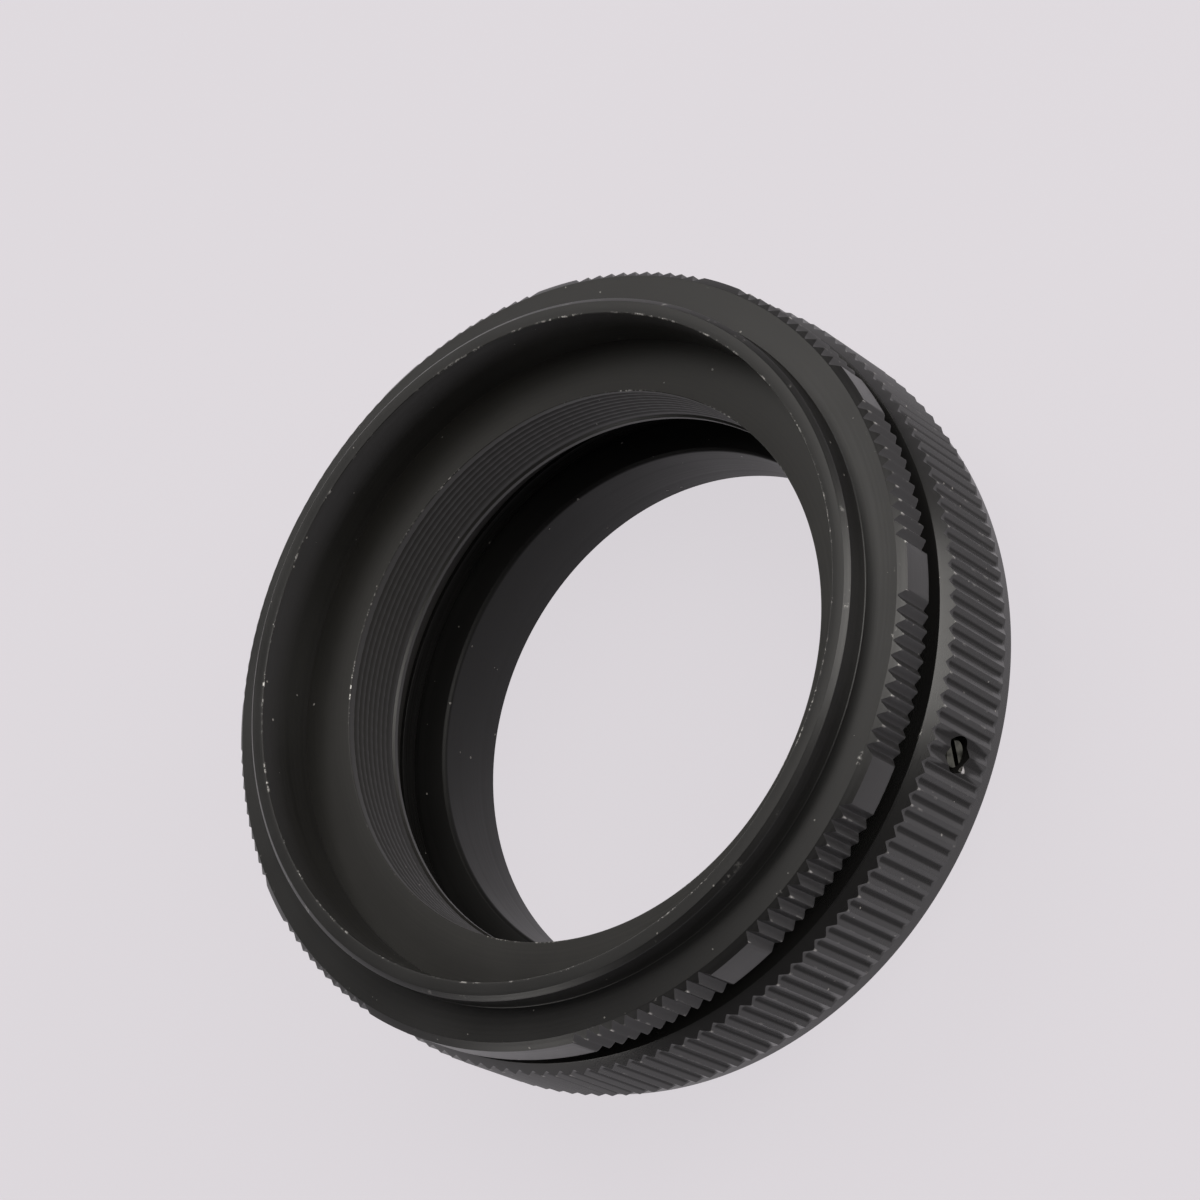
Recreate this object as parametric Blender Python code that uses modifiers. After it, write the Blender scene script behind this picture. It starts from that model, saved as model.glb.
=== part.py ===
"""Macro extension tube, stood on its rear end with its axis along +Z.

Two turned rings run one inside the other. The front ring carries the collar, the gripped flange and
the threaded bore, and its hub turns inside the knurled ring. Three slotted grub screws reach through
the knurled ring into a V-groove round the hub and lock the two together. A bayonet mount is let into
the rear of the knurled ring and held by four countersunk screws.
"""

import math

import bmesh
import bpy
from mathutils import Matrix

# Lengths in metres, angles in degrees.
# Angles round the tube are measured from +X towards +Y.

# Clearances
FIT_GAP = 0.0003
SCREW_GAP = 0.0002

# Lengths along the axis, from the rear end to the front
BARREL_LENGTH = 0.00555
PLATE_PROUD = 0.0003
PLATE_THICKNESS = 0.0012
WEB_THICKNESS = 0.0015
RING_LENGTH = 0.00975
SLOT_WIDTH = 0.0015
FLANGE_THICKNESS = 0.00355
COLLAR_LENGTH = 0.0022
COUNTERBORE_DEPTH = 0.0052
THREAD_LENGTH = 0.0060

# Front ring, from the thread's crests outwards
THREAD_RADIUS = 0.0206
FLOOR_WIDTH = 0.00405
COLLAR_WALL = 0.00128
FLANGE_STEP = 0.00299
RELIEF_STEP = 0.0019
HUB_WALL = 0.0033
LIP_CHAMFER = 0.00035
FLANGE_CHAMFER_WIDTH = 0.00062
FLANGE_CHAMFER_DROP = 0.0004
LOCK_GROOVE_DEPTH = 0.0007

# Grip round the flange: smooth pads with V-grooves between them
PAD_COUNT = 12
PAD_ANGLE = 6.8
FIRST_PAD_ANGLE = 4.7
NAME_GAP = 6
GROOVES_PER_GAP = 11
RIM_GROOVE_DEPTH = 0.00055
RIM_CREST = 0.00013

# Knurled ring, from its bore outwards
RING_WALL = 0.0034
RING_FACE_CHAMFER = 0.0007
RING_LIP_LENGTH = 0.00135
RING_REAR_CHAMFER = 0.0002
WEB_WIDTH = 0.0036
KNURL_COUNT = 156
KNURL_RISE = 0.00046
KNURL_DEPTH = 0.00038
KNURL_CREST = 0.0001

# Bayonet mount, from its rim inwards
REAR_LIP_WALL = 0.00184
PLATE_LEDGE = 0.0050
BARREL_WALL = 0.00175
BORE_TAPER = 0.0003
BORE_CHAMFER = 0.00025
BARREL_CHAMFER = 0.0003
LUG_COUNT = 3
LUG_ANGLE = 56.0
FIRST_LUG_ANGLE = 32.0
LUG_HEIGHT = 0.0016
LUG_THICKNESS = 0.0015
LUG_SETBACK = 0.0018

# Grub screws that lock the front ring
GRUB_COUNT = 3
GRUB_ANGLE = -76.5
GRUB_HEIGHT = 0.00545
GRUB_RADIUS = 0.0011
GRUB_POINT_RADIUS = 0.00025
GRUB_SINK = 0.0004
GRUB_SLOT_WIDTH = 0.00045
GRUB_SLOT_DEPTH = 0.0007
GRUB_SLOT_TILT = -43.0

# Countersunk screws that hold the bayonet mount
MOUNT_SCREW_COUNT = 4
MOUNT_SCREW_ANGLE = 0.0
MOUNT_SCREW_INSET = 0.0020
MOUNT_SCREW_RADIUS = 0.0008
MOUNT_HEAD_RADIUS = 0.00125
MOUNT_SCREW_SHORT = 0.0008
MOUNT_SLOT_WIDTH = 0.0004
MOUNT_SLOT_DEPTH = 0.0003

# Sides given to round forms
RING_SIDES = 90
HIDDEN_SIDES = 60
SCREW_SIDES = 12

# Axial levels that follow from the lengths
PLATE_REAR = BARREL_LENGTH
PLATE_FRONT = PLATE_REAR + PLATE_THICKNESS
RING_REAR = PLATE_REAR + PLATE_PROUD
RING_FRONT = RING_REAR + RING_LENGTH
WEB_REAR = PLATE_FRONT + FIT_GAP
WEB_FRONT = WEB_REAR + WEB_THICKNESS
FLANGE_REAR = RING_FRONT + SLOT_WIDTH
FLANGE_FRONT = FLANGE_REAR + FLANGE_THICKNESS
LIP_FRONT = FLANGE_FRONT + COLLAR_LENGTH
FLOOR_LEVEL = LIP_FRONT - COUNTERBORE_DEPTH
THREAD_REAR = FLOOR_LEVEL - THREAD_LENGTH
HUB_REAR = WEB_FRONT + FIT_GAP
GRUB_LEVEL = RING_REAR + GRUB_HEIGHT

# Radii that follow from the walls and steps
COUNTERBORE_RADIUS = THREAD_RADIUS + FLOOR_WIDTH
COLLAR_RADIUS = COUNTERBORE_RADIUS + COLLAR_WALL
FLANGE_RADIUS = COLLAR_RADIUS + FLANGE_STEP
RELIEF_RADIUS = THREAD_RADIUS + RELIEF_STEP
HUB_RADIUS = RELIEF_RADIUS + HUB_WALL
RING_BORE_RADIUS = HUB_RADIUS + FIT_GAP
CREST_RADIUS = RING_BORE_RADIUS + RING_WALL
RING_LIP_RADIUS = CREST_RADIUS - KNURL_RISE
WEB_BORE_RADIUS = RING_BORE_RADIUS - WEB_WIDTH
RECESS_RADIUS = RING_LIP_RADIUS - REAR_LIP_WALL
PLATE_RADIUS = RECESS_RADIUS - FIT_GAP
BARREL_RADIUS = PLATE_RADIUS - PLATE_LEDGE
REAR_BORE_RADIUS = BARREL_RADIUS - BARREL_WALL
LUG_RADIUS = BARREL_RADIUS + LUG_HEIGHT
MOUNT_SCREW_CIRCLE = PLATE_RADIUS - MOUNT_SCREW_INSET

# How far a cutter runs past the face it cuts through
OVERRUN = 0.001
# How far a piece to be fused is let into the one that carries it
FUSE_DEPTH = 0.0003

MERGE_DISTANCE = 0.00001
SHARP_ANGLE = math.radians(28)


def clear_scene():
    """Removes what the scene holds at the start."""
    for item in list(bpy.data.objects):
        bpy.data.objects.remove(item, do_unlink=True)


def new_collection(name):
    """Adds a collection to the scene."""
    collection = bpy.data.collections.new(name)
    bpy.context.scene.collection.children.link(collection)
    return collection


def finish(name, colour, roughness, metallic):
    """Makes one plain Principled material."""
    made = bpy.data.materials.new(name)
    made.use_nodes = True
    shader = made.node_tree.nodes["Principled BSDF"]
    shader.inputs["Base Color"].default_value = (*colour, 1.0)
    shader.inputs["Roughness"].default_value = roughness
    shader.inputs["Metallic"].default_value = metallic
    made.diffuse_color = (*colour, 1.0)
    return made


def add_object(name, mesh, collection, material=None):
    """Puts a mesh in a collection as a smooth-shaded object."""
    mesh.shade_smooth()
    mesh.set_sharp_from_angle(angle=SHARP_ANGLE)
    made = bpy.data.objects.new(name, mesh)
    collection.objects.link(made)
    if material:
        mesh.materials.append(material)
    return made


def turned(name, profile, sides, collection, material=None):
    """Turns a profile of (radius, height) points round Z. It runs down the outer side.

    A profile that starts and ends on the axis gives a solid, any other is closed into a ring.
    """
    on_axis = profile[0][0] == 0.0 and profile[-1][0] == 0.0
    points = [(radius, 0.0, height) for radius, height in profile]
    edges = [(index, index + 1) for index in range(len(points) - 1)]
    if not on_axis:
        edges.append((len(points) - 1, 0))
    mesh = bpy.data.meshes.new(name)
    mesh.from_pydata(points, edges, [])
    made = bpy.data.objects.new(name, mesh)
    collection.objects.link(made)
    if material:
        mesh.materials.append(material)
    screw = made.modifiers.new("turn", "SCREW")
    screw.axis = "Z"
    screw.angle = math.tau
    screw.steps = sides
    screw.render_steps = sides
    screw.use_merge_vertices = True
    screw.merge_threshold = MERGE_DISTANCE
    screw.use_smooth_shade = True
    return made


def cylinder_mesh(name, radius, low, high, sides):
    """Makes a cylinder along Z between two heights."""
    shape = bmesh.new()
    middle = Matrix.Translation((0.0, 0.0, (low + high) / 2))
    bmesh.ops.create_cone(
        shape,
        cap_ends=True,
        cap_tris=False,
        segments=sides,
        radius1=radius,
        radius2=radius,
        depth=high - low,
        matrix=middle,
    )
    mesh = bpy.data.meshes.new(name)
    shape.to_mesh(mesh)
    shape.free()
    return mesh


def box_mesh(name, size, centre):
    """Makes a box of the given size round a centre."""
    shape = bmesh.new()
    scale = Matrix.Diagonal((*size, 1.0))
    bmesh.ops.create_cube(shape, size=1.0, matrix=Matrix.Translation(centre) @ scale)
    mesh = bpy.data.meshes.new(name)
    shape.to_mesh(mesh)
    shape.free()
    return mesh


def plate_mesh(name, outlines, low, high):
    """Extrudes flat closed outlines between two heights. An outline inside another is a hole."""
    curve = bpy.data.curves.new(name, "CURVE")
    curve.dimensions = "2D"
    curve.fill_mode = "BOTH"
    curve.extrude = (high - low) / 2
    for outline in outlines:
        spline = curve.splines.new("POLY")
        spline.points.add(len(outline) - 1)
        for point, (x, y) in zip(spline.points, outline):
            point.co = (x, y, 0.0, 1.0)
        spline.use_cyclic_u = True
    drawn = bpy.data.objects.new(name, curve)
    bpy.context.scene.collection.objects.link(drawn)
    evaluated = drawn.evaluated_get(bpy.context.evaluated_depsgraph_get())
    mesh = bpy.data.meshes.new_from_object(evaluated)
    bpy.data.objects.remove(drawn, do_unlink=True)
    shape = bmesh.new()
    shape.from_mesh(mesh)
    bmesh.ops.remove_doubles(shape, verts=shape.verts, dist=MERGE_DISTANCE)
    bmesh.ops.translate(shape, verts=shape.verts, vec=(0.0, 0.0, (low + high) / 2))
    bmesh.ops.recalc_face_normals(shape, faces=shape.faces)
    shape.to_mesh(mesh)
    shape.free()
    return mesh


def add_cutter(name, mesh, cutters):
    """Puts a mesh in the collection of cutters."""
    return mark_cutter(add_object(name, mesh, cutters))


def mark_cutter(cutter):
    """Keeps a cutter out of renders and shows it as wires."""
    cutter.hide_render = True
    cutter.display_type = "WIRE"
    return cutter


def turned_cutter(name, profile, sides, cutters):
    """Makes a turned cutter, turned by half a side so that its edges miss those of the blank."""
    cutter = mark_cutter(turned(name, profile, sides, cutters))
    cutter.rotation_euler.z = math.pi / sides
    return cutter


def combine(target, other, operation):
    """Adds a Boolean of another object to a target."""
    boolean = target.modifiers.new(f"{operation.lower()}_{other.name}", "BOOLEAN")
    boolean.operation = operation
    boolean.solver = "EXACT"
    boolean.object = other


def polar(radius, degrees):
    """Gives the x and y of a point at a radius and an angle."""
    angle = math.radians(degrees)
    return radius * math.cos(angle), radius * math.sin(angle)


def arc(radius, start, end, steps):
    """Gives points along an arc, both ends included."""
    return [polar(radius, start + (end - start) * step / steps) for step in range(steps + 1)]


def groove_outline(surface, depth, crest, start, pitch, count):
    """Gives a zigzag of V-grooves cut into a round surface, with a flat crest between neighbours.

    Neighbouring flanks are carried on past the surface to the height at which they meet.
    """
    spacing = math.radians(pitch) * surface
    slope = depth / ((spacing - crest) / 2)
    peak = surface + slope * crest / 2
    points = []
    for index in range(count):
        points.append(polar(peak, start + pitch * index))
        points.append(polar(surface - depth, start + pitch * (index + 0.5)))
    points.append(polar(peak, start + pitch * count))
    return points


def knurl_cutter(cutters):
    """Makes the cutter for the V-grooves all round the knurled ring."""
    pitch = 360.0 / KNURL_COUNT
    inner = groove_outline(CREST_RADIUS, KNURL_DEPTH, KNURL_CREST, pitch / 4, pitch, KNURL_COUNT)[:-1]
    outer = arc(CREST_RADIUS + OVERRUN, 0.0, 360.0, HIDDEN_SIDES)[:-1]
    low = RING_REAR + RING_LIP_LENGTH / 2
    high = RING_FRONT + OVERRUN
    return add_cutter("knurl_cutter", plate_mesh("knurl_cutter", [outer, inner], low, high), cutters)


def rim_cutter(cutters):
    """Makes the cutter for the grip round the flange: one comb for each gap between two pads.

    The gap between the two pads at the place for a name is left smooth.
    """
    spacing = 360.0 / PAD_COUNT
    pitch = (spacing - PAD_ANGLE) / GROOVES_PER_GAP
    combs = []
    for gap in range(PAD_COUNT):
        if gap == NAME_GAP:
            continue
        start = FIRST_PAD_ANGLE + spacing * gap + PAD_ANGLE / 2
        end = start + pitch * GROOVES_PER_GAP
        comb = groove_outline(FLANGE_RADIUS, RIM_GROOVE_DEPTH, RIM_CREST, start, pitch, GROOVES_PER_GAP)
        combs.append(comb + arc(FLANGE_RADIUS + OVERRUN, end, start, GROOVES_PER_GAP))
    low = FLANGE_REAR - SLOT_WIDTH / 2
    high = FLANGE_FRONT + COLLAR_LENGTH / 2
    return add_cutter("rim_cutter", plate_mesh("rim_cutter", combs, low, high), cutters)


def make_front_ring(parts, cutters, material):
    """Makes the front ring: collar, gripped flange and hub, bored, threaded and relieved."""
    profile = [
        (0.0, LIP_FRONT),
        (COLLAR_RADIUS - LIP_CHAMFER, LIP_FRONT),
        (COLLAR_RADIUS, LIP_FRONT - LIP_CHAMFER),
        (COLLAR_RADIUS, FLANGE_FRONT),
        (FLANGE_RADIUS - FLANGE_CHAMFER_WIDTH, FLANGE_FRONT),
        (FLANGE_RADIUS, FLANGE_FRONT - FLANGE_CHAMFER_DROP),
        (FLANGE_RADIUS, FLANGE_REAR),
        (HUB_RADIUS, FLANGE_REAR),
        (HUB_RADIUS, GRUB_LEVEL + LOCK_GROOVE_DEPTH),
        (HUB_RADIUS - LOCK_GROOVE_DEPTH, GRUB_LEVEL),
        (HUB_RADIUS, GRUB_LEVEL - LOCK_GROOVE_DEPTH),
        (HUB_RADIUS, HUB_REAR),
        (0.0, HUB_REAR),
    ]
    ring = turned("front_ring", profile, RING_SIDES, parts, material)
    bore = [
        (0.0, LIP_FRONT + OVERRUN),
        (COUNTERBORE_RADIUS, LIP_FRONT + OVERRUN),
        (COUNTERBORE_RADIUS, FLOOR_LEVEL),
        (THREAD_RADIUS, FLOOR_LEVEL),
        (THREAD_RADIUS, THREAD_REAR),
        (RELIEF_RADIUS, THREAD_REAR),
        (RELIEF_RADIUS, HUB_REAR - OVERRUN),
        (0.0, HUB_REAR - OVERRUN),
    ]
    combine(ring, turned_cutter("front_bore_cutter", bore, RING_SIDES, cutters), "DIFFERENCE")
    combine(ring, rim_cutter(cutters), "DIFFERENCE")
    return ring


def make_knurled_ring(parts, cutters, material):
    """Makes the knurled ring: bored for the hub, with a web and a recess for the bayonet mount."""
    profile = [
        (0.0, RING_FRONT),
        (CREST_RADIUS - RING_FACE_CHAMFER, RING_FRONT),
        (CREST_RADIUS, RING_FRONT - RING_FACE_CHAMFER),
        (CREST_RADIUS, RING_REAR + RING_LIP_LENGTH + KNURL_RISE),
        (RING_LIP_RADIUS, RING_REAR + RING_LIP_LENGTH),
        (RING_LIP_RADIUS, RING_REAR + RING_REAR_CHAMFER),
        (RING_LIP_RADIUS - RING_REAR_CHAMFER, RING_REAR),
        (0.0, RING_REAR),
    ]
    ring = turned("knurled_ring", profile, KNURL_COUNT // 2, parts, material)
    bore = [
        (0.0, RING_FRONT + OVERRUN),
        (RING_BORE_RADIUS, RING_FRONT + OVERRUN),
        (RING_BORE_RADIUS, WEB_FRONT),
        (WEB_BORE_RADIUS, WEB_FRONT),
        (WEB_BORE_RADIUS, WEB_REAR),
        (RECESS_RADIUS, WEB_REAR),
        (RECESS_RADIUS, RING_REAR - OVERRUN),
        (0.0, RING_REAR - OVERRUN),
    ]
    combine(ring, turned_cutter("ring_bore_cutter", bore, HIDDEN_SIDES, cutters), "DIFFERENCE")
    combine(ring, knurl_cutter(cutters), "DIFFERENCE")
    for index in range(GRUB_COUNT):
        hole = cylinder_mesh(
            f"grub_hole_{index + 1}",
            GRUB_RADIUS + SCREW_GAP,
            RING_BORE_RADIUS - OVERRUN,
            CREST_RADIUS + OVERRUN,
            SCREW_SIDES,
        )
        cutter = add_cutter(hole.name, hole, cutters)
        cutter.matrix_world = radial_frame(GRUB_ANGLE + index * 360.0 / GRUB_COUNT)
        combine(ring, cutter, "DIFFERENCE")
    for index in range(MOUNT_SCREW_COUNT):
        hole = cylinder_mesh(
            f"web_hole_{index + 1}",
            MOUNT_SCREW_RADIUS + SCREW_GAP,
            WEB_REAR - OVERRUN,
            WEB_FRONT + OVERRUN,
            SCREW_SIDES,
        )
        cutter = add_cutter(hole.name, hole, cutters)
        cutter.location = mount_screw_place(index)
        combine(ring, cutter, "DIFFERENCE")
    return ring


def radial_frame(degrees):
    """Gives the frame of a grub screw: local Z points outwards, at the screws' level."""
    turn = Matrix.Rotation(math.radians(degrees), 4, "Z")
    lean = Matrix.Rotation(math.radians(90.0), 4, "Y")
    return Matrix.Translation((0.0, 0.0, GRUB_LEVEL)) @ turn @ lean


def mount_screw_place(index):
    """Gives the place of a mount screw's axis."""
    x, y = polar(MOUNT_SCREW_CIRCLE, MOUNT_SCREW_ANGLE + index * 360.0 / MOUNT_SCREW_COUNT)
    return x, y, 0.0


def make_grub_screw(index, parts, cutters, material):
    """Makes one slotted grub screw whose cone point stands in the hub's V-groove."""
    name = f"grub_screw_{index + 1}"
    apex = HUB_RADIUS - LOCK_GROOVE_DEPTH + FIT_GAP
    tip = apex + GRUB_POINT_RADIUS
    shoulder = apex + GRUB_RADIUS
    outer = CREST_RADIUS - GRUB_SINK
    profile = [
        (0.0, outer),
        (GRUB_RADIUS, outer),
        (GRUB_RADIUS, shoulder),
        (GRUB_POINT_RADIUS, tip),
        (0.0, tip),
    ]
    screw = turned(name, [(radius, height - outer) for radius, height in profile], SCREW_SIDES, parts, material)
    frame = radial_frame(GRUB_ANGLE + index * 360.0 / GRUB_COUNT) @ Matrix.Translation((0.0, 0.0, outer))
    screw.matrix_world = frame
    size = (4 * GRUB_RADIUS, GRUB_SLOT_WIDTH, 2 * GRUB_SLOT_DEPTH)
    slot = add_cutter(f"grub_slot_{index + 1}", box_mesh("grub_slot", size, (0.0, 0.0, 0.0)), cutters)
    slot.matrix_world = frame @ Matrix.Rotation(math.radians(GRUB_SLOT_TILT), 4, "Z")
    combine(screw, slot, "DIFFERENCE")
    return screw


def make_bayonet_mount(parts, cutters, material):
    """Makes the rear mount: a plate let into the ring and a barrel with bayonet lugs."""
    mouth = REAR_BORE_RADIUS - BORE_TAPER
    profile = [
        (mouth + BORE_CHAMFER, PLATE_FRONT),
        (PLATE_RADIUS, PLATE_FRONT),
        (PLATE_RADIUS, PLATE_REAR),
        (BARREL_RADIUS, PLATE_REAR),
        (BARREL_RADIUS, BARREL_CHAMFER),
        (BARREL_RADIUS - BARREL_CHAMFER, 0.0),
        (REAR_BORE_RADIUS, 0.0),
        (mouth, PLATE_FRONT - BORE_CHAMFER),
    ]
    mount = turned("bayonet_mount", profile, HIDDEN_SIDES, parts, material)
    steps = round(LUG_ANGLE * HIDDEN_SIDES / 360.0)
    high = PLATE_REAR - LUG_SETBACK
    for index in range(LUG_COUNT):
        start = FIRST_LUG_ANGLE + index * 360.0 / LUG_COUNT
        outline = arc(LUG_RADIUS, start, start + LUG_ANGLE, steps)
        outline += arc(BARREL_RADIUS - FUSE_DEPTH, start + LUG_ANGLE, start, steps)
        name = f"lug_{index + 1}"
        lug = add_cutter(name, plate_mesh(name, [outline], high - LUG_THICKNESS, high), cutters)
        combine(mount, lug, "UNION")
    for index in range(MOUNT_SCREW_COUNT):
        radius = MOUNT_SCREW_RADIUS + SCREW_GAP
        sink = MOUNT_HEAD_RADIUS + SCREW_GAP
        profile = [
            (0.0, PLATE_FRONT + OVERRUN),
            (radius, PLATE_FRONT + OVERRUN),
            (radius, PLATE_REAR + sink - radius),
            (sink, PLATE_REAR),
            (sink, PLATE_REAR - OVERRUN),
            (0.0, PLATE_REAR - OVERRUN),
        ]
        cutter = turned_cutter(f"plate_hole_{index + 1}", profile, SCREW_SIDES, cutters)
        cutter.location = mount_screw_place(index)
        combine(mount, cutter, "DIFFERENCE")
    return mount


def make_mount_screw(index, parts, cutters, material):
    """Makes one slotted countersunk screw, flush with the plate's rear face."""
    name = f"mount_screw_{index + 1}"
    tip = WEB_FRONT - MOUNT_SCREW_SHORT
    profile = [
        (0.0, tip),
        (MOUNT_SCREW_RADIUS, tip),
        (MOUNT_SCREW_RADIUS, PLATE_REAR + MOUNT_HEAD_RADIUS - MOUNT_SCREW_RADIUS),
        (MOUNT_HEAD_RADIUS, PLATE_REAR),
        (0.0, PLATE_REAR),
    ]
    screw = turned(name, profile, SCREW_SIDES, parts, material)
    screw.location = mount_screw_place(index)
    size = (4 * MOUNT_HEAD_RADIUS, MOUNT_SLOT_WIDTH, 2 * MOUNT_SLOT_DEPTH)
    slot = add_cutter(f"mount_slot_{index + 1}", box_mesh("mount_slot", size, (0.0, 0.0, PLATE_REAR)), cutters)
    slot.location = screw.location
    combine(screw, slot, "DIFFERENCE")
    return screw


def main():
    """Builds the tube."""
    clear_scene()
    parts = new_collection("macro_extension_tube")
    cutters = new_collection("cutters")
    black = finish("black_anodised", (0.022, 0.022, 0.023), 0.45, 0.0)
    grey = finish("dark_satin_metal", (0.05, 0.05, 0.05), 0.4, 0.6)
    steel = finish("nickel_screw", (0.62, 0.58, 0.50), 0.3, 1.0)
    make_front_ring(parts, cutters, black)
    make_knurled_ring(parts, cutters, black)
    for index in range(GRUB_COUNT):
        make_grub_screw(index, parts, cutters, steel)
    make_bayonet_mount(parts, cutters, grey)
    for index in range(MOUNT_SCREW_COUNT):
        make_mount_screw(index, parts, cutters, steel)


main()
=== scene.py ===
"""Looks of the macro extension tube: finely turned rings with cut grips, a real thread and worn black finish.

The tube stands on its rear end with its axis along +Z. Lengths are in metres, and angles round the tube
run from +X towards +Y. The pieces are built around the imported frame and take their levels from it.
"""

import math

import bmesh
import bpy
from bpy.props import FloatProperty, FloatVectorProperty, IntProperty, PointerProperty
from mathutils import Matrix, Vector


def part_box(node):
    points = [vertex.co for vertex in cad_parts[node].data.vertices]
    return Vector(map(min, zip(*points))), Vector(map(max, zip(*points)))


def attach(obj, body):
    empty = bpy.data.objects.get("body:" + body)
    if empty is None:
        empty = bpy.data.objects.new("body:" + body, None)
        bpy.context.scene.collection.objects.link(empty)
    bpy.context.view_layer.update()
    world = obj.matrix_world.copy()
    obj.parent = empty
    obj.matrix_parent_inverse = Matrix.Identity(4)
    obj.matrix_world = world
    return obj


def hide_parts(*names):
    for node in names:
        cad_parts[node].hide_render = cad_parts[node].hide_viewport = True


bl_info = {
    "name": "Macro extension tube",
    "version": (1, 0, 0),
    "blender": (4, 5, 0),
    "location": "3D View > Sidebar > Extension tube",
    "description": "Builds a macro extension tube around its packed frame",
    "category": "Object",
}

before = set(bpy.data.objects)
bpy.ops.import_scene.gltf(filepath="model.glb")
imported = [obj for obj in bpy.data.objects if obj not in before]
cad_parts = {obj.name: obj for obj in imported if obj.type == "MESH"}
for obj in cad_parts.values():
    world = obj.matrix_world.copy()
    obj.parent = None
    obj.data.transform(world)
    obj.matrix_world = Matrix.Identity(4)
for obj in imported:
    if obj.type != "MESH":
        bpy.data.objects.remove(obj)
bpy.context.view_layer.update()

PHOTO_SIDE = 1200

# Levels read from the frame
FRONT_LOW, FRONT_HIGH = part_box("front_ring")
RING_LOW, RING_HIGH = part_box("knurled_ring")
MOUNT_LOW, MOUNT_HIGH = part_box("bayonet_mount")
GRUB_LOW, GRUB_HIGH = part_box("grub_screw_1")
SCREW_LOW, SCREW_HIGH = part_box("mount_screw_1")
LIP_LEVEL = FRONT_HIGH.z
HUB_REAR = FRONT_LOW.z
RING_FRONT = RING_HIGH.z
RING_REAR = RING_LOW.z
PLATE_FRONT = MOUNT_HIGH.z
GRUB_LEVEL = (GRUB_LOW.z + GRUB_HIGH.z) / 2
PLATE_REAR = SCREW_LOW.z

# Columns of vertices across one groove, as shares of its pitch from crest to crest
GROOVE_STEPS = (0.0, 0.045, 0.09, 0.27, 0.44, 0.5, 0.56, 0.73, 0.91, 0.955)
PAD_STEPS = 10
# Sides of plain turned pieces, of a grub screw and its hole, and of a mount screw and its holes
PLAIN_SIDES = 240
GRUB_SIDES = 48
SCREW_SIDES = 32
LUG_STEPS = 48
FILLET_STEPS = 4
# Fillets of most corners in the sections
CRISP = 0.00005
SOFT = 0.0001
# How far the shape of a hole reaches past what it cuts, and how far a lug reaches into the barrel
OVERSHOOT = 0.001
LUG_OVERLAP = 0.0003
SHARP_ANGLE = math.radians(35)
MERGE_DISTANCE = 1e-6

# Where the rim of the grub screw's hole is worn to bare metal, from the screw's middle, and how widely
CHIP_ANGLE = math.radians(1.4)
CHIP_DROP = 0.0010
CHIP_RADIUS = 0.00042
# Half the width of the change from one finish to another, and the length of the worn ends of crests
STEP_WIDTH = 0.0001
CREST_END = 0.0004
# Height of the finish's relief, and how far the outlines of dust are bent
RELIEF = 0.00001
DUST_BEND = 0.00012
# Spacing of nodes in the editor
NODES_IN_ROW = 12
NODE_WIDTH = 200
NODE_HEIGHT = 180

# Name, place, width, height and power of each soft lamp
LAMPS = (
    ("low_lamp", (0.229, -0.229, 0.117), 0.26, 0.18, 0.52),
    ("high_lamp", (0.179, -0.179, 0.240), 0.20, 0.20, 0.36),
    ("top_lamp", (0.100, 0.115, 0.320), 0.24, 0.24, 0.40),
    ("back_lamp", (-0.028, 0.322, 0.105), 0.36, 0.12, 0.38),
    ("left_lamp", (-0.323, 0.0, 0.117), 0.14, 0.14, 0.17),
)


def length_prop(name, description, default, low=0.0):
    """Makes a property for a length in metres."""
    return FloatProperty(
        name=name, description=description, default=default, min=low,
        unit="LENGTH", subtype="DISTANCE", precision=5,
    )


def count_prop(name, description, default, low=1):
    """Makes a property for a whole number."""
    return IntProperty(name=name, description=description, default=default, min=low)


def angle_prop(name, description, degrees):
    """Makes a property for an angle, given in degrees."""
    return FloatProperty(
        name=name, description=description, default=math.radians(degrees), unit="ROTATION", subtype="ANGLE"
    )


def share_prop(name, description, default):
    """Makes a property for a share from 0 to 1."""
    return FloatProperty(
        name=name, description=description, default=default, min=0.0, max=1.0, subtype="FACTOR"
    )


def colour_prop(name, description, default):
    """Makes a property for a colour."""
    return FloatVectorProperty(
        name=name, description=description, default=default, size=3, min=0.0, max=1.0, subtype="COLOR"
    )


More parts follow.
